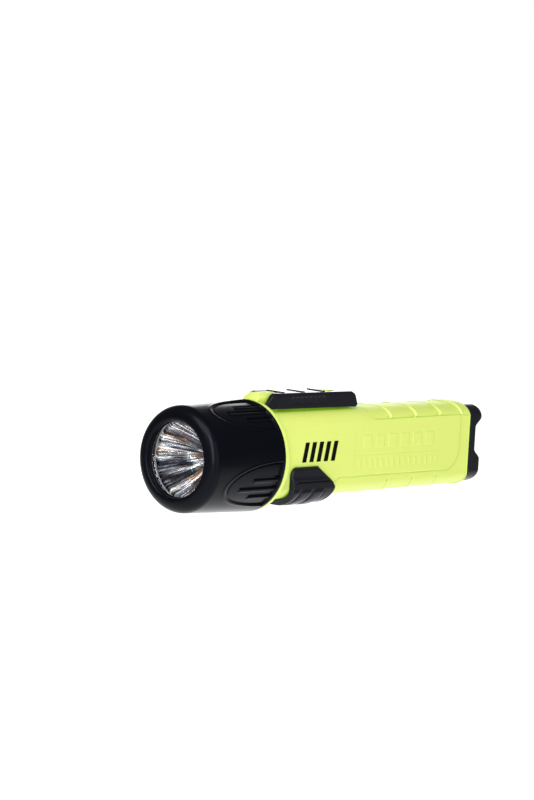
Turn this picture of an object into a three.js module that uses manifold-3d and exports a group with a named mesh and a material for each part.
// Firefighter's hand torch with a screw-on head, a magnetic slide switch and a sprung clip.
//
// Millimetres. The beam axis is the Y axis: the beam leaves towards -Y and the tail points to +Y.
// +Z points up, towards the clip, and the slide switch is underneath. Distances along Y are counted
// from the plane of the head ring's rear rim, where the head meets the body. The finished torch is
// then moved so that its origin lies on the beam axis, in the tail cap's flat rear face.
import * as THREE from "three";
import { mergeVertices } from "three/addons/utils/BufferGeometryUtils.js";
import Module from "manifold-3d";

const wasm = await Module();
wasm.setup();

// ---------------------------------------------------------------- driving dimensions

const GAP = 0.3; // assembly and running clearance
const DEG = Math.PI / 180;
const ROUND = 40; // facets round the head

// Head ring
const HEAD_FRONT = -40.8;
const HEAD_RADIUS_FRONT = 21.5;
const HEAD_RADIUS_REAR = 22.5;
const BEZEL_ROUNDING = 5.0;
const BEZEL_LIP_RADIUS = 15.3;
const BEZEL_LIP_ROUNDING = 1.2;
const WINDOW_RADIUS = 14.9;
const RIM_BAND = 1.3;
const UNIT_BORE = 17.6;
const THREAD_BORE = 19.1;
const GRIP_ANGLES = [62, 152, 242, 332];
const GRIP_TIP = -29.8;
const GRIP_HALF_ANGLE = 28;
const GRIP_DEPTH = 0.45;

// Screw joint between head ring and body
const THREAD_PITCH = 4.0;
const THREAD_RIDGE = 1.0; // radius of the round thread ridge
const THREAD_FRONT = -11.3;
const SPIGOT_RADIUS = 17.6;
const SPIGOT_FRONT = -12.0;

// Lens stack
const LENS_FRONT = HEAD_FRONT + 4.1;
const LENS_THICKNESS = 2.5;
const LENS_RADIUS = UNIT_BORE - 0.5;
const SHOULDER = LENS_FRONT - 1.3; // rear face of the bezel's inner shoulder
const RETAINER_FRONT = -31.5;
const RETAINER_THICKNESS = 1.0;

// Light unit
const REFLECTOR_FRONT = LENS_FRONT + LENS_THICKNESS + GAP;
const REFLECTOR_RADIUS = 15.0;
const FOCAL_LENGTH = 3.4;
const REFLECTOR_HOLE = 3.6;
const REFLECTOR_WALL = 1.2;
const LED_BOARD_FRONT = -17.2;
const LED_BOARD_THICKNESS = 1.2;
const HOUSING_RADIUS = 16.9;
const HOUSING_FRONT = -30.0;
const HOUSING_BACK = SPIGOT_FRONT - 0.4;
const KEY_HALF_WIDTH = 9.3;
const KEY_HALF_HEIGHT = 13.0;
const KEY_BACK = -3.0;
const KEY_WALL = 1.2;

// Body shell
const FLANGE_RADIUS = 22.3;
const FLANGE_BACK = 2.5;
const BODY_END = 123.5;
const CROWN_X = 10.0; // the soft edge between side and top takes this much of the width
const CROWN_Z = 5.5; // and this much of the height
// The body's outline from the flange to the tail: its half width, its top and its bottom
const BODY_STATIONS = [
  { y: 2.4, halfWidth: 15.4, top: 19.4, bottom: -19.4 },
  { y: 3.6, halfWidth: 13.5, top: 18.3, bottom: -18.3 },
  { y: 5.2, halfWidth: 12.7, top: 17.9, bottom: -17.85 },
  { y: 14.0, halfWidth: 12.6, top: 17.85, bottom: -17.8 },
  { y: 70.0, halfWidth: 12.2, top: 17.85, bottom: -17.4 },
  { y: BODY_END - 0.8, halfWidth: 11.8, top: 17.75, bottom: -16.8 },
  { y: BODY_END, halfWidth: 11.2, top: 17.15, bottom: -16.2 },
];
const CAVITY_HALF_WIDTH = 10.1;
const CAVITY_HALF_HEIGHT = 15.5;
const CAVITY_END = 120.5;

// Side panel and grip recesses of the body
const PANEL_FRONT = 52.8;
const PANEL_BACK = 117.4;
const PANEL_TOP = 8.5;
const PANEL_BOTTOM = -9.2;
const LINE_DEPTH = 0.3;
const UPPER_GRIP_FRONT = 65.2;
const LOWER_GRIP_FRONT = 42.5;
const GRIP_BACK = 118.2;
const UPPER_GRIP_EDGE = 13.2;
const LOWER_GRIP_EDGE = -9.6;
const GRIP_RIB_PLACES = [74.2, 89.7, 104.9];

// Hump and rail on top of the body
const HUMP_HALF_WIDTH = 4.0;
const HUMP_CHAMFER = 1.8;
const HUMP_TOP = 25.1;
const HUMP_BACK = 13.4;
const RAIL_FRONT = 24.0;
const RAIL_HALF_WIDTH = 3.0;
const RAIL_TOP = 20.5;
const CATCH_FRONT = 42.5;
const CATCH_BACK = 47.5;
const CATCH_TOP = 24.9;

// Clip
const CLIP_HALF_WIDTH = 7.0;
const CLIP_BOTTOM = 18.8;
const CLIP_TOP = 25.1;
const CLIP_DROP = 0.65; // the bar sinks this much towards its free end
const CLIP_FRONT = 4.2;
const CLIP_NOSE = { halfWidth: 5.7, length: 5.0 }; // the side walls draw in towards the front
const CLIP_BACK = 58.2;
const CLIP_PLATE = 2.2;
const CLIP_PLATE_FRONT = 15.0;
const CLIP_WALL = 2.6;
const CLIP_RIBS = [16.0, 28.0, 40.0];
const CLIP_RIB_HALF_LENGTH = 4.5;
const CLIP_RIB_HALF_THICKNESS = 0.8;
const CLIP_RIB_HEIGHT = 0.4;
const HINGE_Y = 9.0;
const HINGE_Z = 21.6;
const HINGE_PIN_RADIUS = 1.1;
const HINGE_PIN_HALF_LENGTH = 5.7;
const SPRING_RADIUS = 1.95;
const SPRING_WIRE = 0.35;
const SPRING_LEG_Y = 20.0;
const SPRING_LEG_Z = 22.15;

// Slide switch
const SLIDER_FRONT = 13.6;
const SLIDER_BACK = 40.1;
const SLIDER_TRAVEL = 7.0;
const SLIDER_HALF_WIDTH = 14.0;
const SLIDER_BOTTOM = -19.5;
const SLIDER_TOP = -4.4;
const PAD_TOP = -9.9;
const PAD_RAISE = 0.4;
const PAD_GROOVES = [18.6, 25.8, 33.0];
const PAD_GROOVE_HALF_WIDTH = 0.6;
const PAD_GROOVE_DEPTH = 0.4;
const GUIDE_BOTTOM = -6.7;
const GUIDE_TOP = -5.1;
const GUIDE_DEPTH = 1.0;
const GUIDE_LIP_FRONT = 22.6;
const GUIDE_LIP_LENGTH = 5.0;

// Batteries and carrier
const CELL_RADIUS = 7.25;
const CELL_LENGTH = 50.5;
const CELL_OFFSET = 7.4; // height of a cell's axis above or below the beam axis
const CELL_FRONT = 9.3;
const CARRIER_FRONT = 5.0;
const CARRIER_BACK = 119.6;
const CARRIER_PLATE = 2.0;

// Tail cap
const TAIL_FRONT = BODY_END + GAP;
const TAIL_HALF_WIDTH = 11.4;
const TAIL_TOP = 16.6;
const TAIL_BOTTOM = -15.9;
const TAIL_END = 132.2; // rear end of the two bumper lobes
const TAIL_HOLLOW = 128.9; // flat floor between them
const TAIL_HOLLOW_TOP = 7.6;
const TAIL_HOLLOW_BOTTOM = -1.8;
const TAIL_PEGS = [-9, 9];

// ---------------------------------------------------------------- materials

const yellowPlastic = { color: 0xcdea4c, roughness: 0.42, metalness: 0 };
const blackPlastic = { color: 0x17181b, roughness: 0.55, metalness: 0 };
const blackRubber = { color: 0x101113, roughness: 0.8, metalness: 0 };
const clearPlastic = { color: 0xf2f6f8, roughness: 0.05, metalness: 0, transparent: true, opacity: 0.3 };
const mirrorCoat = { color: 0xd8dadd, roughness: 0.08, metalness: 1 };
const steel = { color: 0xaeb2b6, roughness: 0.3, metalness: 1 };
const brass = { color: 0xc9a24b, roughness: 0.35, metalness: 1 };
const aluminium = { color: 0xbfc3c8, roughness: 0.45, metalness: 1 };
const greenBoard = { color: 0x1e5a34, roughness: 0.6, metalness: 0 };
const whiteBoard = { color: 0xe6e6e0, roughness: 0.6, metalness: 0 };
const greyPlastic = { color: 0x5b6066, roughness: 0.6, metalness: 0 };
const cellSleeve = { color: 0x2c5fa8, roughness: 0.35, metalness: 0.2 };
const amberLens = { color: 0xe8d36a, roughness: 0.2, metalness: 0 };

// ---------------------------------------------------------------- solid helpers

// Turns a closed three.js geometry into a solid, whichever way its faces point.
function solid(geometry) {
  const bare = geometry.clone();
  bare.deleteAttribute("normal");
  bare.deleteAttribute("uv");
  const merged = mergeVertices(bare, 1e-4);
  const corners = merged.getIndex().array;
  const triangles = [];
  for (let i = 0; i < corners.length; i += 3) {
    const [a, b, c] = [corners[i], corners[i + 1], corners[i + 2]];
    if (a !== b && b !== c && c !== a) {
      triangles.push(a, b, c);
    }
  }
  const places = merged.getAttribute("position").array;
  if (signedVolume(places, triangles) < 0) {
    triangles.reverse();
  }
  const mesh = new wasm.Mesh({
    numProp: 3,
    vertProperties: Float32Array.from(places),
    triVerts: Uint32Array.from(triangles),
  });
  return new wasm.Manifold(mesh);
}

function signedVolume(places, triangles) {
  const corner = (i) => new THREE.Vector3().fromArray(places, 3 * triangles[i]);
  let sum = 0;
  for (let i = 0; i < triangles.length; i += 3) {
    sum += corner(i).dot(corner(i + 1).cross(corner(i + 2)));
  }
  return sum / 6;
}

function box(low, high) {
  const size = high.map((value, i) => value - low[i]);
  const geometry = new THREE.BoxGeometry(...size);
  geometry.translate(...low.map((value, i) => value + size[i] / 2));
  return solid(geometry);
}

// A solid of revolution about the beam axis from a list of [radius, y] points.
function turned(points, segments = 32) {
  const profile = points.map(([radius, y]) => new THREE.Vector2(radius, y));
  return solid(new THREE.LatheGeometry(profile, segments));
}

// A ring of revolution: its profile closes on itself.
function turnedRing(points, segments = 32) {
  return turned([...points, points[0]], segments);
}

// A disc or rod about an axis parallel to Y.
function rod(radius, from, to, x = 0, z = 0, segments = 24) {
  return turned([[0, from], [radius, from], [radius, to], [0, to]], segments).translate(x, 0, z);
}

// A rod along X.
function crossRod(radius, halfLength, y, z, segments = 20) {
  return rod(radius, -halfLength, halfLength, 0, 0, segments)
    .rotate(0, 0, 90)
    .translate(0, y, z);
}

// A prism along X whose outline is a list of [y, z] points.
function sidePrism(points, fromX, toX) {
  const outline = new THREE.Shape(points.map(([y, z]) => new THREE.Vector2(y, z)));
  const geometry = new THREE.ExtrudeGeometry(outline, { depth: toX - fromX, bevelEnabled: false });
  geometry.applyMatrix4(new THREE.Matrix4().set(0, 0, 1, fromX, 1, 0, 0, 0, 0, 1, 0, 0, 0, 0, 0, 1));
  return solid(geometry);
}

// A prism along Y whose outline is a list of [x, z] points.
function frontPrism(points, fromY, toY) {
  const outline = new THREE.Shape(points.map(([x, z]) => new THREE.Vector2(x, z)));
  const geometry = new THREE.ExtrudeGeometry(outline, { depth: toY - fromY, bevelEnabled: false });
  geometry.applyMatrix4(new THREE.Matrix4().set(1, 0, 0, 0, 0, 0, 1, fromY, 0, 1, 0, 0, 0, 0, 0, 1));
  return solid(geometry);
}

// A point of a rounded rectangle in the XZ plane: vertex `index` of 4 * (steps + 1).
// The rectangle is centred on the beam axis unless the section has a `middle` height.
function sectionPoint(section, index, steps) {
  const quadrant = Math.floor(index / (steps + 1));
  const angle = (quadrant + (index % (steps + 1)) / steps) * 90 * DEG;
  const signX = quadrant === 0 || quadrant === 3 ? 1 : -1;
  const signZ = quadrant < 2 ? 1 : -1;
  const x = signX * (section.halfWidth - section.cornerX) + section.cornerX * Math.cos(angle);
  const z = signZ * (section.halfHeight - section.cornerZ) + section.cornerZ * Math.sin(angle);
  return [x, z + (section.middle ?? 0)];
}

// A solid through rounded-rectangle sections: the rings of a cylinder, each reshaped to its section.
function loft(sections, steps = 6) {
  const around = 4 * (steps + 1);
  const rows = sections.length - 1;
  const geometry = new THREE.CylinderGeometry(1, 1, rows, around, rows);
  const position = geometry.getAttribute("position");
  for (let i = 0; i < position.count; i += 1) {
    const section = sections[Math.round(position.getY(i) + rows / 2)];
    const turn = Math.atan2(position.getZ(i), position.getX(i)) / (2 * Math.PI);
    const onRim = Math.hypot(position.getX(i), position.getZ(i)) > 0.5;
    const index = Math.round((turn + 1) * around) % around;
    const [x, z] = onRim ? sectionPoint(section, index, steps) : [0, 0];
    position.setXYZ(i, x, section.y, z);
  }
  return solid(geometry);
}

// The body's outline, grown outwards by `grow`.
function bodyOutline(grow = 0) {
  const sections = BODY_STATIONS.map((station) => ({
    y: station.y,
    halfWidth: station.halfWidth + grow,
    halfHeight: (station.top - station.bottom) / 2 + grow,
    middle: (station.top + station.bottom) / 2,
    cornerX: CROWN_X,
    cornerZ: CROWN_Z,
  }));
  return loft(sections, 5);
}

// The body's half width at a place along it.
function halfWidthAt(y) {
  const next = BODY_STATIONS.findIndex((station) => station.y > y);
  const [a, b] = [BODY_STATIONS[next - 1], BODY_STATIONS[next]];
  return THREE.MathUtils.mapLinear(y, a.y, b.y, a.halfWidth, b.halfWidth);
}

// A right-handed helix about the Y axis. `start` is where it begins, as a fraction of a turn.
class Helix extends THREE.Curve {
  constructor(radius, fromY, pitch, turns, start = 0, endRadius = radius) {
    super();
    Object.assign(this, { radius, fromY, pitch, turns, start, endRadius });
  }
  getPoint(t, target = new THREE.Vector3()) {
    const angle = -(this.start + t * this.turns) * 2 * Math.PI;
    const radius = THREE.MathUtils.lerp(this.radius, this.endRadius, t);
    const y = this.fromY + t * this.turns * this.pitch;
    return target.set(radius * Math.cos(angle), y, radius * Math.sin(angle));
  }
}

// A round wire or ridge along a curve.
function wire(curve, radius, steps, sides = 6) {
  const circle = new THREE.Shape();
  for (let i = 0; i < sides; i += 1) {
    const angle = (i / sides) * 2 * Math.PI;
    const [x, y] = [radius * Math.cos(angle), radius * Math.sin(angle)];
    if (i === 0) {
      circle.moveTo(x, y);
    } else {
      circle.lineTo(x, y);
    }
  }
  circle.closePath();
  return solid(new THREE.ExtrudeGeometry(circle, { steps, extrudePath: curve, bevelEnabled: false }));
}

function quarterArc(centre, radius, fromDegrees, toDegrees, steps) {
  const points = [];
  for (let i = 0; i <= steps; i += 1) {
    const angle = THREE.MathUtils.lerp(fromDegrees, toDegrees, i / steps) * DEG;
    points.push([centre[0] + radius * Math.cos(angle), centre[1] + radius * Math.sin(angle)]);
  }
  return points;
}

function slab(fromY, toY) {
  return box([-40, fromY, -40], [40, toY, 40]);
}

const torch = new THREE.Group();

// Adds a finished solid to the torch as a named mesh.
function place(name, body, look) {
  const mesh = body.getMesh();
  const geometry = new THREE.BufferGeometry();
  geometry.setAttribute("position", new THREE.BufferAttribute(mesh.vertProperties, 3));
  geometry.setIndex(new THREE.BufferAttribute(mesh.triVerts, 1));
  geometry.computeVertexNormals();
  const part = new THREE.Mesh(geometry, new THREE.MeshStandardMaterial(look));
  part.name = name;
  torch.add(part);
}

// ---------------------------------------------------------------- head ring and lens

// One grip pad: a shallow recess with a rounded front that ends at the rim band. Three long ribs
// are left standing in it.
function gripCutter(angle) {
  const halfSpan = HEAD_RADIUS_REAR * Math.sin(GRIP_HALF_ANGLE * DEG);
  const length = -RIM_BAND - GRIP_TIP;
  const inner = HEAD_RADIUS_FRONT / 2;
  const ribHalfWidth = 0.6;
  const steps = 10;
  const oval = [];
  for (let i = 0; i <= steps; i += 1) {
    const turn = (i / steps) * Math.PI;
    oval.push([halfSpan * Math.cos(turn), -RIM_BAND - length * Math.sin(turn)]);
  }
  const outline = new THREE.Shape(oval.map(([across, y]) => new THREE.Vector2(across, y)));
  const depth = HEAD_RADIUS_REAR + 3 - inner;
  const geometry = new THREE.ExtrudeGeometry(outline, { depth, bevelEnabled: false });
  // The pad's width runs along Z before the turn to its angle, and its depth along X.
  geometry.applyMatrix4(new THREE.Matrix4().set(0, 0, 1, inner, 0, 1, 0, 0, 1, 0, 0, 0, 0, 0, 0, 1));
  let cutter = solid(geometry);
  for (const [across, front] of [[-4.2, -15], [0, -23], [4.2, -15]]) {
    const [low, high] = [across - ribHalfWidth, across + ribHalfWidth];
    cutter = cutter.subtract(box([inner - 1, front, low], [HEAD_RADIUS_REAR + 4, 0, high]));
  }
  return cutter.rotate(0, -angle, 0);
}

function headRing() {
  const rounded = quarterArc(
    [HEAD_RADIUS_FRONT - BEZEL_ROUNDING, HEAD_FRONT + BEZEL_ROUNDING], BEZEL_ROUNDING, -90, 0, 5);
  const lip = quarterArc(
    [BEZEL_LIP_RADIUS + BEZEL_LIP_ROUNDING, HEAD_FRONT + BEZEL_LIP_ROUNDING],
    BEZEL_LIP_ROUNDING, 180, 270, 3);
  const groove = RETAINER_FRONT - 0.25;
  const outer = [
    ...lip.slice(0, -1),
    ...rounded,
    [HEAD_RADIUS_REAR, -RIM_BAND],
    [HEAD_RADIUS_REAR, 0],
  ];
  const inner = [
    [THREAD_BORE, 0],
    [THREAD_BORE, -12.6],
    [UNIT_BORE, -13.4],
    [UNIT_BORE, groove + RETAINER_THICKNESS + 0.5],
    [UNIT_BORE + 0.9, groove + RETAINER_THICKNESS + 0.5],
    [UNIT_BORE + 0.9, groove],
    [UNIT_BORE, groove],
    [UNIT_BORE, SHOULDER],
    [WINDOW_RADIUS, SHOULDER],
    [WINDOW_RADIUS, SHOULDER - 0.6],
    [BEZEL_LIP_RADIUS, SHOULDER - 1.0],
  ];
  let ring = turnedRing([...outer, ...inner], ROUND);
  const thread = wire(new Helix(THREAD_BORE, THREAD_FRONT, THREAD_PITCH, 1.7), THREAD_RIDGE, 44);
  ring = ring.add(thread);
  const core = turned([
    [0, HEAD_FRONT - 1],
    [HEAD_RADIUS_FRONT - GRIP_DEPTH, HEAD_FRONT - 1],
    [HEAD_RADIUS_FRONT - GRIP_DEPTH, HEAD_FRONT + BEZEL_ROUNDING],
    [HEAD_RADIUS_REAR - GRIP_DEPTH, 0],
    [0, 0],
  ], ROUND);
  for (const angle of GRIP_ANGLES) {
    ring = ring.subtract(gripCutter(angle).subtract(core));
  }
  return ring;
}

function lens() {
  return rod(LENS_RADIUS, LENS_FRONT, LENS_FRONT + LENS_THICKNESS, 0, 0, ROUND);
}

function lensSeal() {
  const front = SHOULDER + 0.2;
  const back = LENS_FRONT - 0.2;
  const inside = WINDOW_RADIUS + 0.6;
  return turnedRing([[inside, front], [LENS_RADIUS, front], [LENS_RADIUS, back], [inside, back]], 32);
}

// A split ring that springs into its groove behind the light unit's flange.
function retainingRing() {
  const [inside, outside] = [16.3, UNIT_BORE + 0.6];
  const back = RETAINER_FRONT + RETAINER_THICKNESS;
  const ring = turnedRing([
    [inside, RETAINER_FRONT], [outside, RETAINER_FRONT], [outside, back], [inside, back]], 32);
  return ring.subtract(box([-2, RETAINER_FRONT - 1, -20], [2, back + 1, 0]));
}

// ---------------------------------------------------------------- light unit

// Where the reflector's parabola would meet the beam axis if it had no hole for the emitter.
function reflectorApex() {
  return REFLECTOR_FRONT + REFLECTOR_RADIUS ** 2 / (4 * FOCAL_LENGTH);
}

function reflector() {
  const steps = 7;
  const inside = [];
  for (let i = 0; i <= steps; i += 1) {
    const radius = THREE.MathUtils.lerp(REFLECTOR_RADIUS, REFLECTOR_HOLE, i / steps);
    inside.push([radius, reflectorApex() - radius ** 2 / (4 * FOCAL_LENGTH)]);
  }
  const outside = inside.map(([radius, y]) => [radius + REFLECTOR_WALL, y + 0.4]).reverse();
  const flange = REFLECTOR_FRONT + 1.6;
  const rim = [
    [REFLECTOR_RADIUS + REFLECTOR_WALL - 0.6, flange],
    [LENS_RADIUS, flange],
    [LENS_RADIUS, REFLECTOR_FRONT],
  ];
  return turnedRing([...inside, ...outside.slice(0, -1), ...rim], 32);
}

function ledEmitter() {
  const base = box([-1.75, LED_BOARD_FRONT - 1.1, -1.75], [1.75, LED_BOARD_FRONT - 0.2, 1.75]);
  const dome = solid(new THREE.SphereGeometry(1.6, 20, 12)).translate(0, LED_BOARD_FRONT - 1.1, 0);
  return base.add(dome.intersect(slab(LED_BOARD_FRONT - 4, LED_BOARD_FRONT - 0.6)));
}

const LED_SCREW_PLACES = [-6.8, 6.8];

function ledBoard() {
  let board = rod(8.4, LED_BOARD_FRONT, LED_BOARD_FRONT + LED_BOARD_THICKNESS, 0, 0, 32);
  for (const x of LED_SCREW_PLACES) {
    board = board.subtract(rod(1.25, LED_BOARD_FRONT - 1, LED_BOARD_FRONT + 3, x, 0, 12));
  }
  return board;
}

// A turned aluminium cup with its skirt pointing forwards round the back of the reflector.
function heatSink() {
  const front = LED_BOARD_FRONT + LED_BOARD_THICKNESS + 0.2;
  const back = HOUSING_BACK - 1.6 - GAP;
  const [skirtInside, skirtOutside] = [13.8, 15.4];
  let cup = turned([
    [0, front],
    [skirtInside, front],
    [skirtInside, front - 6],
    [skirtOutside, front - 6],
    [skirtOutside, back],
    [0, back],
  ], 36);
  for (const x of LED_SCREW_PLACES) {
    cup = cup.subtract(rod(1.25, front - 1, back + 1, x, 0, 12));
  }
  return cup;
}

function boardScrew(x) {
  const head = rod(1.5, LED_BOARD_FRONT - 0.8, LED_BOARD_FRONT - 0.2, x, 0, 16);
  const shank = rod(1.0, LED_BOARD_FRONT - 0.5, LED_BOARD_FRONT + 2.4, x, 0, 12);
  return head.add(shank);
}

// A round cup for the reflector and heat sink, with a flat key behind it that enters the battery
// case, so that the unit slides but cannot turn.
function unitHousing() {
  const wallFront = HOUSING_BACK - 1.6;
  const cup = turned([
    [HOUSING_RADIUS - 1.1, HOUSING_FRONT],
    [HOUSING_RADIUS, HOUSING_FRONT],
    [HOUSING_RADIUS, HOUSING_BACK],
    [0, HOUSING_BACK],
    [0, wallFront],
    [HOUSING_RADIUS - 1.1, wallFront],
    [HOUSING_RADIUS - 1.1, HOUSING_FRONT],
  ], 40);
  const section = (y, shrink) => ({
    y,
    halfWidth: KEY_HALF_WIDTH - shrink,
    halfHeight: KEY_HALF_HEIGHT - shrink,
    cornerX: 3,
    cornerZ: 3,
  });
  const key = loft([section(HOUSING_BACK - 0.5, 0), section(KEY_BACK, 0)], 3);
  const hollow = loft([section(HOUSING_BACK, KEY_WALL), section(KEY_BACK + 1, KEY_WALL)], 3);
  const wireHole = rod(1.5, wallFront - 1, HOUSING_BACK + 1, 0, 9, 12);
  return cup.add(key).subtract(hollow).subtract(wireHole);
}

const UNIT_BOARD_HALF_WIDTH = KEY_HALF_WIDTH - KEY_WALL - GAP;
const UNIT_BOARD_HALF_HEIGHT = KEY_HALF_HEIGHT - KEY_WALL - GAP;

function boardPlate(front, thickness) {
  const section = (y) => ({
    y,
    halfWidth: UNIT_BOARD_HALF_WIDTH,
    halfHeight: UNIT_BOARD_HALF_HEIGHT,
    cornerX: 3,
    cornerZ: 3,
  });
  return loft([section(front), section(front + thickness)], 3);
}

function driverBoard() {
  const front = -11.0;
  const board = boardPlate(front, 1.2);
  const coil = rod(3.2, front + 1, front + 4, 0, -5, 20);
  const chip = box([-2.2, front + 1, 1.5], [2.2, front + 2.4, 5.5]);
  const capacitor = rod(2.0, front + 1, front + 4.2, 3, 8.5, 16);
  return board.add(coil).add(chip).add(capacitor);
}

const CONTACT_BOARD_FRONT = -5.6;

function contactBoard() {
  return boardPlate(CONTACT_BOARD_FRONT, 1.0);
}

function contactPad(z) {
  const front = CONTACT_BOARD_FRONT + 1.2;
  return rod(2.8, front, front + 0.5, 0, z, 20);
}

// ---------------------------------------------------------------- body shell

// The hump that carries the clip's hinge pin. Its top edges are chamfered and its front is raked.
function hump() {
  const shoulder = HUMP_HALF_WIDTH - HUMP_CHAMFER;
  const section = [
    [-HUMP_HALF_WIDTH, 15],
    [HUMP_HALF_WIDTH, 15],
    [HUMP_HALF_WIDTH, HUMP_TOP - HUMP_CHAMFER],
    [shoulder, HUMP_TOP],
    [-shoulder, HUMP_TOP],
    [-HUMP_HALF_WIDTH, HUMP_TOP - HUMP_CHAMFER],
  ];
  const side = [
    [GAP, 14],
    [GAP, 21.2],
    [3.3, HUMP_TOP],
    [HUMP_BACK, HUMP_TOP],
    [HUMP_BACK, 14],
  ];
  const block = frontPrism(section, 0, HUMP_BACK + 1).intersect(sidePrism(side, -8, 8));
  const room = SPRING_RADIUS + SPRING_WIRE + 0.25;
  const springRoom = box([-2.3, HINGE_Y - room - 0.8, HINGE_Z - room],
    [2.3, HUMP_BACK + 1, HINGE_Z + room]);
  const pinHole = crossRod(HINGE_PIN_RADIUS + 0.25, 9, HINGE_Y, HINGE_Z);
  return block.subtract(springRoom).subtract(pinHole);
}

// The low rail under the clip and the catch at its end, which stands up through the clip's window.
function railAndCatch() {
  const side = [
    [RAIL_FRONT, 15],
    [RAIL_FRONT, RAIL_TOP - 1],
    [RAIL_FRONT + 1, RAIL_TOP],
    [CATCH_FRONT, RAIL_TOP],
    [CATCH_FRONT, CATCH_TOP - 0.6],
    [CATCH_FRONT + 0.6, CATCH_TOP],
    [CATCH_BACK - 1.8, CATCH_TOP],
    [CATCH_BACK, RAIL_TOP],
    [CATCH_BACK, 15],
  ];
  return sidePrism(side, -RAIL_HALF_WIDTH, RAIL_HALF_WIDTH);
}

// The layer of the body that lies deeper than `depth` under its surface is left alone; the rest of
// the region is taken away.
function shallowCut(region, depth) {
  return region.subtract(bodyOutline(-depth));
}

// Fine engraved outline round the flat panel on each side.
function panelLines(side) {
  const [near, far] = [side * 8, side * 16];
  const [low, high] = [Math.min(near, far), Math.max(near, far)];
  const corner = 7;
  const outline = (grow) => [
    [PANEL_FRONT - grow, PANEL_BOTTOM - grow],
    [PANEL_BACK - corner, PANEL_BOTTOM - grow],
    [PANEL_BACK - 2 + grow, PANEL_BOTTOM + 2 - grow],
    [PANEL_BACK + grow, PANEL_BOTTOM + corner],
    [PANEL_BACK + grow, PANEL_TOP + grow],
    [PANEL_FRONT - grow, PANEL_TOP + grow],
  ];
  const frame = sidePrism(outline(0.2), low, high).subtract(sidePrism(outline(-0.2), low - 1, high + 1));
  const middle = box([low, PANEL_FRONT, -1.0], [high, PANEL_BACK - 12, -0.6]);
  return shallowCut(frame.add(middle), LINE_DEPTH);
}

// Recessed grip strips over the upper and lower edges, with ribs left standing in them.
function gripStrips() {
  const upper = sidePrism([
    [UPPER_GRIP_FRONT, UPPER_GRIP_EDGE],
    [GRIP_BACK, UPPER_GRIP_EDGE],
    [GRIP_BACK, 20],
    [UPPER_GRIP_FRONT - 5, 20],
    [UPPER_GRIP_FRONT - 3, UPPER_GRIP_EDGE + 1.5],
  ], -16, 16);
  const lower = sidePrism([
    [LOWER_GRIP_FRONT + 24, LOWER_GRIP_EDGE],
    [LOWER_GRIP_FRONT + 22, -20],
    [GRIP_BACK, -20],
    [GRIP_BACK, LOWER_GRIP_EDGE],
  ], -16, 16);
  let strips = upper.add(lower);
  for (const y of GRIP_RIB_PLACES) {
    strips = strips.subtract(slab(y - 0.65, y + 0.65));
  }
  return shallowCut(strips, 0.4);
}

// Groove that one of the slide switch's lips runs in. The lip's whole travel fits inside it.
function guideGroove(side) {
  const front = GUIDE_LIP_FRONT - SLIDER_TRAVEL - GAP;
  const back = GUIDE_LIP_FRONT + GUIDE_LIP_LENGTH + GAP;
  const floor = halfWidthAt(front) - GUIDE_DEPTH;
  const [low, high] = side > 0 ? [floor, 16] : [-16, -floor];
  return box([low, front, GUIDE_BOTTOM], [high, back, GUIDE_TOP]);
}

// Threaded spigot that the head ring screws onto, with its seal groove next to the flange.
function spigot() {
  const barrel = turned([
    [0, SPIGOT_FRONT],
    [SPIGOT_RADIUS - 0.5, SPIGOT_FRONT],
    [SPIGOT_RADIUS, SPIGOT_FRONT + 0.5],
    [SPIGOT_RADIUS, -3.3],
    [SPIGOT_RADIUS - 1.0, -3.3],
    [SPIGOT_RADIUS - 1.0, -0.7],
    [SPIGOT_RADIUS, -0.7],
    [SPIGOT_RADIUS, 1.0],
    [0, 1.0],
  ], 36);
  const thread = wire(new Helix(SPIGOT_RADIUS, THREAD_FRONT, THREAD_PITCH, 1.5, 0.5), THREAD_RIDGE, 40);
  return barrel.add(thread);
}

function bodyShell() {
  const flange = turned([
    [0, GAP],
    [FLANGE_RADIUS - 0.4, GAP],
    [FLANGE_RADIUS, GAP + 0.4],
    [FLANGE_RADIUS, FLANGE_BACK - 0.4],
    [FLANGE_RADIUS - 0.4, FLANGE_BACK],
    [0, FLANGE_BACK],
  ], ROUND);
  const cavitySection = (y) => ({
    y,
    halfWidth: CAVITY_HALF_WIDTH,
    halfHeight: CAVITY_HALF_HEIGHT,
    cornerX: 5.5,
    cornerZ: 3.6,
  });
  const cavity = loft([cavitySection(SPIGOT_FRONT - 1), cavitySection(CAVITY_END)], 4);
  let shell = bodyOutline().add(flange).add(spigot()).add(hump()).add(railAndCatch());
  shell = shell.subtract(cavity).subtract(gripStrips());
  for (const side of [-1, 1]) {
    shell = shell.subtract(panelLines(side)).subtract(guideGroove(side));
  }
  for (const z of TAIL_PEGS) {
    shell = shell.subtract(rod(2.3, BODY_END - 1.9, BODY_END + 1, 0, z, 16));
  }
  return shell;
}

function bodySeal() {
  const points = quarterArc([SPIGOT_RADIUS + 0.25, -2.0], 1.0, 0, 300, 5);
  return turnedRing(points, 32);
}

// ---------------------------------------------------------------- tail cap

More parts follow.
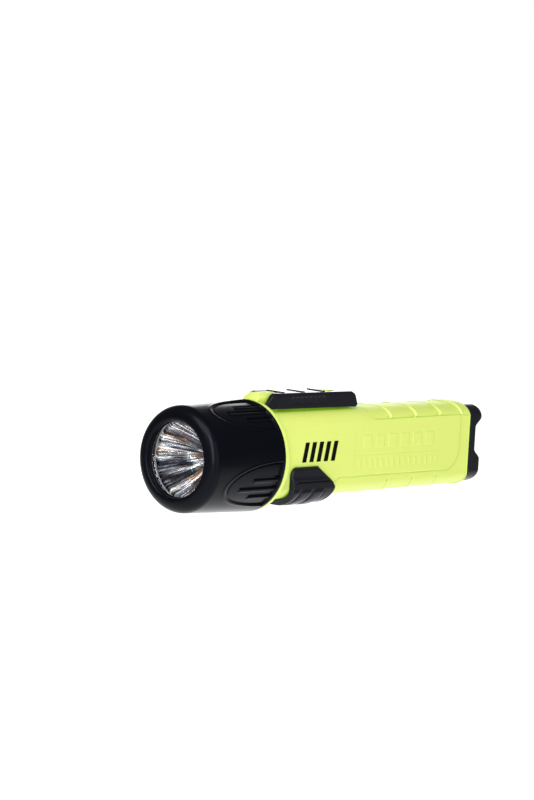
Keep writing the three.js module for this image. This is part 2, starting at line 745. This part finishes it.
// A thick cushion with two lobes, an upper and a lower one, and a flat-floored hollow between them.
function tailCap() {
  const section = (y, inset) => ({
    y,
    halfWidth: TAIL_HALF_WIDTH - inset,
    halfHeight: (TAIL_TOP - TAIL_BOTTOM) / 2 - inset,
    middle: (TAIL_TOP + TAIL_BOTTOM) / 2,
    cornerX: CROWN_X - inset / 2,
    cornerZ: CROWN_Z,
  });
  const blank = loft([
    section(TAIL_FRONT, 0),
    section(TAIL_END - 3.0, 0.1),
    section(TAIL_END - 1.2, 0.7),
    section(TAIL_END - 0.3, 1.6),
    section(TAIL_END, 2.6),
  ], 6);
  const flare = 2.2; // the hollow widens by this much on each side before it turns out to the lobes
  const hollow = sidePrism([
    [TAIL_HOLLOW, TAIL_HOLLOW_BOTTOM],
    [TAIL_HOLLOW, TAIL_HOLLOW_TOP],
    [TAIL_HOLLOW + flare, TAIL_HOLLOW_TOP + flare],
    [TAIL_END + 1, TAIL_HOLLOW_TOP + 2 * flare],
    [TAIL_END + 1, TAIL_HOLLOW_BOTTOM - 2 * flare],
    [TAIL_HOLLOW + flare, TAIL_HOLLOW_BOTTOM - flare],
  ], -16, 16);
  let cap = blank.subtract(hollow);
  for (const z of TAIL_PEGS) {
    cap = cap.add(rod(2.0, TAIL_FRONT - 1.6, TAIL_FRONT + 0.5, 0, z, 16));
  }
  return cap;
}

// ---------------------------------------------------------------- batteries and carrier

// Two end plates and two side walls with windows, open at the top and bottom for the cells.
function batteryCarrier() {
  const [halfWidth, halfHeight] = [9.5, 14.6];
  const wallInside = CELL_RADIUS + 0.35;
  // Each end plate is a cross of two slabs, so that its corners stay clear of the case's corners.
  const slabAt = (front, x, z) => box([-x, front, -z], [x, front + CARRIER_PLATE, z]);
  const plate = (front) => slabAt(front, halfWidth, halfHeight - 3)
    .add(slabAt(front, halfWidth - 4, halfHeight));
  let frame = plate(CARRIER_FRONT).add(plate(CARRIER_BACK - CARRIER_PLATE));
  for (const side of [-1, 1]) {
    const [low, high] = side > 0 ? [wallInside, halfWidth] : [-halfWidth, -wallInside];
    frame = frame.add(box([low, CARRIER_FRONT, -10.8], [high, CARRIER_BACK, 10.8]));
  }
  const [firstWindow, windowLength, windowPitch, windowHalfHeight] = [16, 14, 24, 6.5];
  for (let y = firstWindow; y + windowLength < CARRIER_BACK; y += windowPitch) {
    const window = box([-12, y, -windowHalfHeight], [12, y + windowLength, windowHalfHeight]);
    frame = frame.subtract(window);
  }
  for (const z of [-CELL_OFFSET, CELL_OFFSET]) {
    frame = frame.subtract(rod(1.9, CARRIER_FRONT - 1, CARRIER_FRONT + CARRIER_PLATE + 1, 0, z, 16));
  }
  return frame;
}

// An AA cell. `nose` is -1 when its positive end points forwards and +1 when it points back.
function cell(front, z, nose) {
  const [can, button] = [CELL_LENGTH - 1.0, 2.7];
  const body = turned([
    [0, 0],
    [CELL_RADIUS - 0.5, 0],
    [CELL_RADIUS, 0.5],
    [CELL_RADIUS, can - 0.5],
    [CELL_RADIUS - 0.5, can],
    [button, can],
    [button, CELL_LENGTH],
    [0, CELL_LENGTH],
  ], 28);
  const pointed = nose > 0 ? body : body.rotate(180, 0, 0).translate(0, CELL_LENGTH, 0);
  return pointed.translate(0, front, z);
}

const REAR_CELL_FRONT = CELL_FRONT + CELL_LENGTH + 0.4;
const SPRING_FRONT = REAR_CELL_FRONT + CELL_LENGTH + 0.75;
const LINK_FRONT = CARRIER_BACK - CARRIER_PLATE - 0.7;

// A tapered contact spring between a cell and the link plate.
function cellSpring(z) {
  const turns = 3.5;
  const length = LINK_FRONT - SPRING_FRONT - 0.75;
  const curve = new Helix(2.6, SPRING_FRONT, length / turns, turns, 0, 4.6);
  return wire(curve, 0.4, 36, 5).translate(0, 0, z);
}

function seriesLink() {
  return box([-5.2, LINK_FRONT, -13.2], [5.2, LINK_FRONT + 0.4, 13.2]);
}

// A stepped contact pin through the carrier's front plate.
function contactPin(z) {
  const nose = CONTACT_BOARD_FRONT + 2.0;
  const head = CARRIER_FRONT + CARRIER_PLATE + GAP;
  return turned([
    [0, nose],
    [1.6, nose + 0.4],
    [1.6, head],
    [3.0, head],
    [3.0, CELL_FRONT - GAP],
    [0, CELL_FRONT - GAP],
  ], 20).translate(0, 0, z);
}

// ---------------------------------------------------------------- switch

const REED_X = 7.7;
const REED_Z = -13.1;

// A glass reed switch with its two leads, lying along the case's lower edge.
function reedSwitch() {
  return turned([
    [0, 15.0],
    [0.35, 15.0],
    [0.35, 20.0],
    [0.95, 21.0],
    [0.95, 33.0],
    [0.35, 34.0],
    [0.35, 39.0],
    [0, 39.0],
  ], 12).translate(REED_X, 0, REED_Z);
}

function reedBoard() {
  return box([6.7, 13.0, -11.8], [9.3, 41.0, -11.1]);
}

// The side view of the slide switch: a rounded upper front corner, a level top edge, and a rear
// edge that slants back to a blunt point and then forward again underneath.
function sliderSideView(fromX, toX) {
  const corner = 3.2;
  const front = quarterArc([SLIDER_FRONT + corner, SLIDER_TOP - corner], corner, 180, 90, 3);
  return sidePrism([
    [SLIDER_FRONT, -24],
    ...front,
    [SLIDER_FRONT + 15.9, SLIDER_TOP],
    [SLIDER_BACK - 1.1, -11.3],
    [SLIDER_BACK, -12.5],
    [SLIDER_BACK - 0.1, -13.3],
    [SLIDER_BACK - 2.4, -18.2],
    [SLIDER_BACK - 3.2, -20.5],
    [SLIDER_BACK - 3.2, -24],
  ], fromX, toX);
}

function sliderOutline(grow) {
  const section = (y) => ({
    y,
    halfWidth: SLIDER_HALF_WIDTH + grow,
    halfHeight: -SLIDER_BOTTOM + grow,
    cornerX: 9,
    cornerZ: 7,
  });
  return loft([section(SLIDER_FRONT - 1), section(SLIDER_BACK + 1)], 7);
}

const MAGNET_X = 10.3;
const MAGNET_Z = -17.1;
const MAGNET_RADIUS = 0.8;
const MAGNET_FRONT = 19.9;
const MAGNET_BACK = 24.5;

function slider() {
  const pad = sliderOutline(PAD_RAISE).intersect(
    box([-20, SLIDER_FRONT + 1.2, -22], [20, SLIDER_BACK, PAD_TOP]));
  let saddle = sliderOutline(0).add(pad).intersect(sliderSideView(-20, 20));
  saddle = saddle.subtract(bodyOutline(GAP + 0.05));
  for (const y of PAD_GROOVES) {
    const ring = box([-20, y - PAD_GROOVE_HALF_WIDTH, -22], [20, y + PAD_GROOVE_HALF_WIDTH, PAD_TOP - 3.2]);
    saddle = saddle.subtract(ring.subtract(sliderOutline(PAD_RAISE - PAD_GROOVE_DEPTH)));
  }
  for (const side of [-1, 1]) {
    const [low, high] = side > 0 ? [12.0, 13.3] : [-13.3, -12.0];
    const [bottom, top] = [GUIDE_BOTTOM + GAP, GUIDE_TOP - GAP];
    const back = GUIDE_LIP_FRONT + GUIDE_LIP_LENGTH;
    saddle = saddle.add(box([low, GUIDE_LIP_FRONT, bottom], [high, back, top]));
  }
  const [front, back, radius] = [MAGNET_FRONT - 0.2, MAGNET_BACK + 0.2, MAGNET_RADIUS + 0.2];
  const pocket = rod(radius, front, back).add(box([-radius, front, 0], [radius, back, 3.5]));
  return saddle.subtract(pocket.rotate(0, -30, 0).translate(MAGNET_X, 0, MAGNET_Z));
}

function sliderMagnet() {
  return rod(MAGNET_RADIUS, MAGNET_FRONT, MAGNET_BACK, MAGNET_X, MAGNET_Z, 16);
}

// ---------------------------------------------------------------- clip

// A height of the clip bar, which sinks slightly towards its free end.
function clipHeight(base, y) {
  return base - CLIP_DROP * ((y - CLIP_FRONT) / (CLIP_BACK - CLIP_FRONT));
}

// The clip is a bar with side walls, a sprung plate on top, a window for the catch, and two blind
// sockets that hold the ends of the hinge pin.
function clip() {
  const bottom = (y) => clipHeight(CLIP_BOTTOM, y);
  const top = (y) => clipHeight(CLIP_TOP, y);
  const bar = sidePrism([
    [CLIP_FRONT, bottom(CLIP_FRONT) + 0.6],
    [CLIP_FRONT + 0.6, bottom(CLIP_FRONT)],
    [CLIP_BACK - 1.0, bottom(CLIP_BACK)],
    [CLIP_BACK, bottom(CLIP_BACK) + 1.0],
    [CLIP_BACK - 1.6, top(CLIP_BACK) - 1.4],
    [CLIP_BACK - 3.0, top(CLIP_BACK)],
    [CLIP_FRONT + 5.0, top(CLIP_FRONT)],
    [CLIP_FRONT + 3.6, top(CLIP_FRONT) - 0.7],
  ], -CLIP_HALF_WIDTH, CLIP_HALF_WIDTH);
  const plan = [
    [CLIP_FRONT, CLIP_NOSE.halfWidth],
    [CLIP_FRONT + CLIP_NOSE.length, CLIP_HALF_WIDTH],
    [CLIP_BACK + 1, CLIP_HALF_WIDTH],
  ];
  const rounded = loft(plan.map(([y, halfWidth]) => ({
    y,
    halfWidth,
    halfHeight: 10,
    middle: top(y) - 10,
    cornerX: 0.9,
    cornerZ: 0.9,
  })), 1);
  const inside = CLIP_HALF_WIDTH - CLIP_WALL;
  const channel = sidePrism([
    [CLIP_FRONT - 1, CLIP_BOTTOM - 3],
    [CLIP_BACK - 3.5, CLIP_BOTTOM - 3],
    [CLIP_BACK - 3.5, top(CLIP_BACK) - CLIP_PLATE],
    [CLIP_FRONT - 1, top(CLIP_FRONT) - CLIP_PLATE],
  ], -inside, inside);
  const fork = box([-inside, CLIP_FRONT - 1, CLIP_BOTTOM - 1], [inside, CLIP_PLATE_FRONT, CLIP_TOP + 1]);
  const window = box([-RAIL_HALF_WIDTH - 0.5, CATCH_FRONT - 0.5, CLIP_BOTTOM],
    [RAIL_HALF_WIDTH + 0.5, CATCH_BACK + 0.6, CLIP_TOP + 1]);
  const socket = crossRod(HINGE_PIN_RADIUS + 0.25, HINGE_PIN_HALF_LENGTH + GAP, HINGE_Y, HINGE_Z);
  const springHole = box([inside - 1, SPRING_LEG_Y - 0.8, SPRING_LEG_Z - 0.5],
    [inside + 1.7, SPRING_LEG_Y + 0.8, SPRING_LEG_Z + 0.5]);
  let body = bar.intersect(rounded).subtract(channel).subtract(fork);
  for (const y of CLIP_RIBS) {
    const [front, back] = [y - CLIP_RIB_HALF_THICKNESS, y + CLIP_RIB_HALF_THICKNESS];
    body = body.add(box([-CLIP_RIB_HALF_LENGTH, front, top(y) - 0.5],
      [CLIP_RIB_HALF_LENGTH, back, top(y) + CLIP_RIB_HEIGHT]));
  }
  return body.subtract(window).subtract(socket).subtract(springHole);
}

function clipPin() {
  return crossRod(HINGE_PIN_RADIUS, HINGE_PIN_HALF_LENGTH, HINGE_Y, HINGE_Z);
}

// A torsion spring on the pin. Its long leg hooks into the clip's side wall and its short leg rests
// in the hump.
class TorsionSpring extends THREE.Curve {
  getPoint(t, target = new THREE.Vector3()) {
    const [halfWidth, turns, legStart] = [1.45, 3.25, 0.72];
    if (t > legStart) {
      return target.copy(this.legPoint((t - legStart) / (1 - legStart)));
    }
    const part = t / legStart;
    const angle = (part * turns + 0.5) * 2 * Math.PI;
    const x = THREE.MathUtils.lerp(-halfWidth, halfWidth, part);
    const y = HINGE_Y - SPRING_RADIUS * Math.sin(angle);
    return target.set(x, y, HINGE_Z + SPRING_RADIUS * Math.cos(angle));
  }
  // The leg runs back from the coil's rear side, then turns outwards into the clip's wall.
  legPoint(part) {
    const y = HINGE_Y + SPRING_RADIUS;
    const path = new THREE.CatmullRomCurve3([
      new THREE.Vector3(1.45, y, HINGE_Z),
      new THREE.Vector3(1.55, y + 0.6, HINGE_Z + 0.4),
      new THREE.Vector3(2.0, 15.5, SPRING_LEG_Z),
      new THREE.Vector3(3.0, SPRING_LEG_Y - 0.8, SPRING_LEG_Z),
      new THREE.Vector3(4.0, SPRING_LEG_Y, SPRING_LEG_Z),
      new THREE.Vector3(5.6, SPRING_LEG_Y, SPRING_LEG_Z),
    ]);
    return path.getPoint(part);
  }
}

function clipSpring() {
  return wire(new TorsionSpring(), SPRING_WIRE, 56, 5);
}

// ---------------------------------------------------------------- assembly

place("head_ring", headRing(), blackPlastic);
place("lens", lens(), clearPlastic);
place("lens_seal", lensSeal(), blackRubber);
place("retaining_ring", retainingRing(), steel);

place("reflector", reflector(), mirrorCoat);
place("led_emitter", ledEmitter(), amberLens);
place("led_board", ledBoard(), whiteBoard);
place("heat_sink", heatSink(), aluminium);
LED_SCREW_PLACES.forEach((x, i) => place(`board_screw_${i + 1}`, boardScrew(x), steel));
place("unit_housing", unitHousing(), greyPlastic);
place("driver_board", driverBoard(), greenBoard);
place("contact_board", contactBoard(), greenBoard);
place("positive_pad", contactPad(CELL_OFFSET), brass);
place("negative_pad", contactPad(-CELL_OFFSET), brass);

place("body_shell", bodyShell(), yellowPlastic);
place("body_seal", bodySeal(), blackRubber);
place("tail_cap", tailCap(), blackPlastic);
place("battery_carrier", batteryCarrier(), greyPlastic);
place("cell_upper_front", cell(CELL_FRONT, CELL_OFFSET, -1), cellSleeve);
place("cell_upper_rear", cell(REAR_CELL_FRONT, CELL_OFFSET, -1), cellSleeve);
place("cell_lower_front", cell(CELL_FRONT, -CELL_OFFSET, 1), cellSleeve);
place("cell_lower_rear", cell(REAR_CELL_FRONT, -CELL_OFFSET, 1), cellSleeve);
place("cell_spring_upper", cellSpring(CELL_OFFSET), steel);
place("cell_spring_lower", cellSpring(-CELL_OFFSET), steel);
place("series_link", seriesLink(), brass);
place("positive_pin", contactPin(CELL_OFFSET), brass);
place("negative_pin", contactPin(-CELL_OFFSET), brass);
place("reed_switch", reedSwitch(), clearPlastic);
place("reed_board", reedBoard(), greenBoard);
place("clip_pin", clipPin(), steel);

place("slider", slider(), blackPlastic);
place("slider_magnet", sliderMagnet(), steel);

place("clip", clip(), blackPlastic);
place("clip_spring", clipSpring(), steel);

torch.position.y = -TAIL_HOLLOW;

export default torch;
